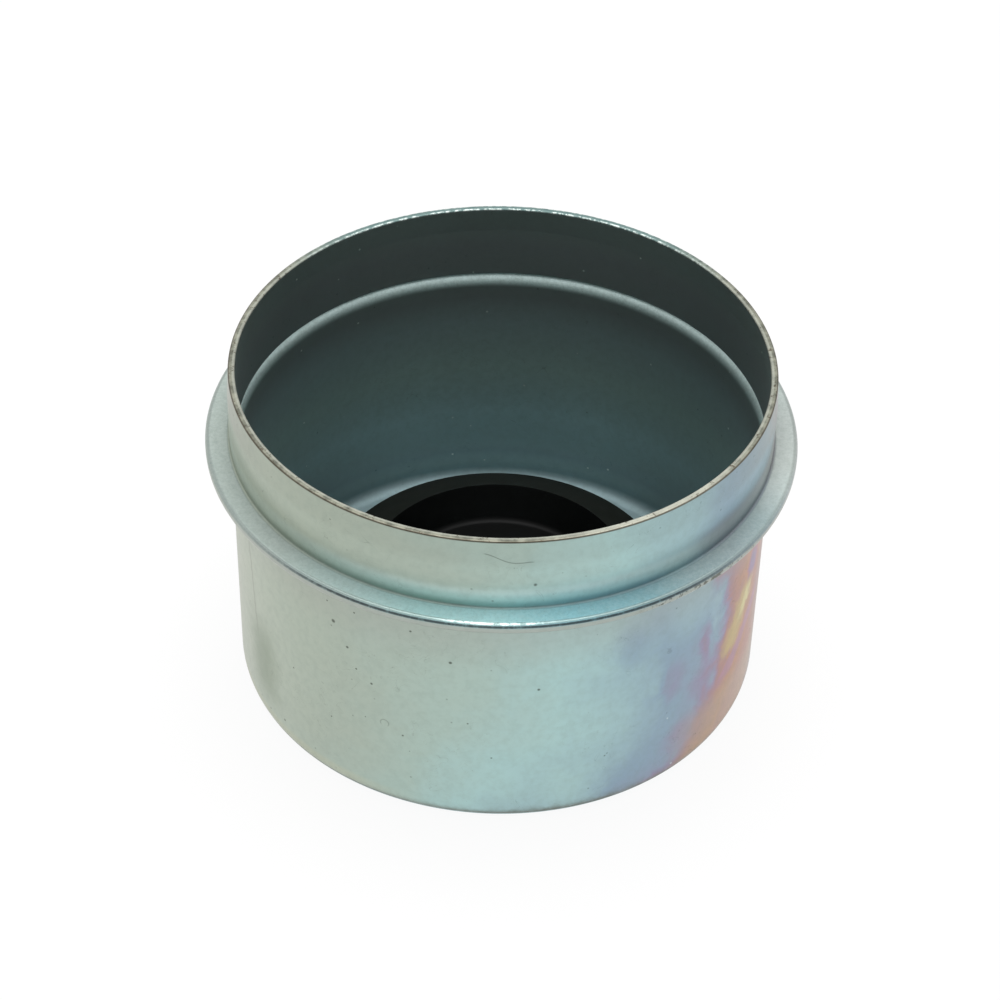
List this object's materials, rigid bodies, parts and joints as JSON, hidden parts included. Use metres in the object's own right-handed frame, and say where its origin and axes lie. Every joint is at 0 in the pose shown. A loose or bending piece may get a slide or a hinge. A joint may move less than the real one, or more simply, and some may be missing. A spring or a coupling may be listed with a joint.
{
  "type": "hub grease cap",
  "caption": "Round drive-in grease cap: a drawn steel cup with a press-fit collar and a folded flange, and a rubber plug in its closed end.",
  "frame": {"origin": "centre of the closed end's outer face, on the cap's axis", "axes": "+Z along the cap's axis from the closed end to the open rim; X and Y are alike, because the cap is round"},
  "size_m": [0.0551, 0.055, 0.0344],
  "materials": {
    "zinc_plated_steel": "satin zinc plating with a clear passivation that shows faint blue, purple and yellow",
    "black_rubber": "smooth moulded black rubber"
  },
  "bodies": {
    "root": {"cap_shell": "zinc_plated_steel", "rubber_plug": "black_rubber"}
  },
  "joints": []
}
